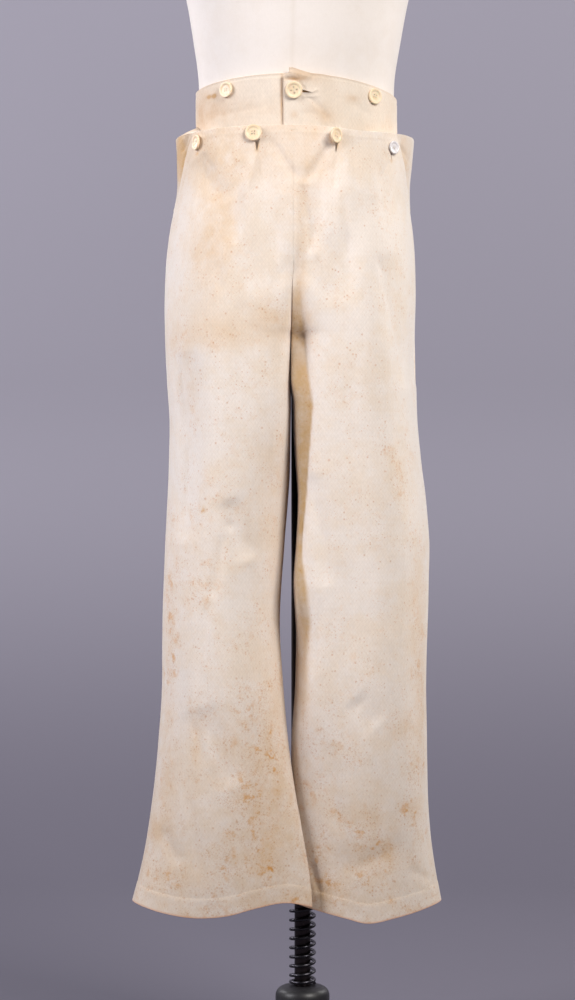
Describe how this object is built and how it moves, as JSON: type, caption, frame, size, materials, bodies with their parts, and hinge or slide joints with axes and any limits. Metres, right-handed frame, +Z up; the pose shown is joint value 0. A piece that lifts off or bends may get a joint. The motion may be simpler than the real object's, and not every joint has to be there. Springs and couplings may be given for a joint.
{
  "type": "fall-front trousers on a limbless dress form with a sprung pole stand",
  "caption": "Historic fall-front trousers, waistband and buttoned front flap, worn on a limbless dress form on a sprung pole stand with a round base.",
  "frame": {"origin": "on the floor at the middle of the round base's underside, on the pole's axis", "axes": "+Z up along the pole; the garment's front faces -Y; the wearer's left is at +X"},
  "size_m": [0.3924, 0.384, 1.6337],
  "materials": {
    "trouser_cloth": "matte",
    "waistband": "matte",
    "bone_button": "satin",
    "china_button": "gloss",
    "form_cover": "matte",
    "form_wood": "satin",
    "dark_steel": "satin",
    "cast_iron": "satin"
  },
  "bodies": {
    "stand": {"stand_base": "cast_iron", "stand_rod": "dark_steel", "stand_spring": "dark_steel"},
    "form": {"form_tube": "dark_steel", "form_torso": "form_cover", "form_neck_cap": "form_wood", "waistband_right": "waistband", "waistband_left": "waistband", "front_right": "trouser_cloth", "front_left": "trouser_cloth", "back_right": "trouser_cloth", "back_left": "trouser_cloth", "bearer_right": "trouser_cloth", "bearer_left": "trouser_cloth", "button_waist": "bone_button", "button_brace_right": "bone_button", "button_brace_left": "bone_button", "button_fall_inner_right": "bone_button", "button_fall_inner_left": "bone_button", "button_fall_corner_right": "bone_button", "button_fall_corner_left": "china_button"}
  },
  "joints": [
    {"name": "height", "type": "slide", "parent": "stand", "child": "form", "axis": [0, 0, 1], "range_m": [-0.07, 0.2], "deforming": ["stand_spring"]}
  ]
}
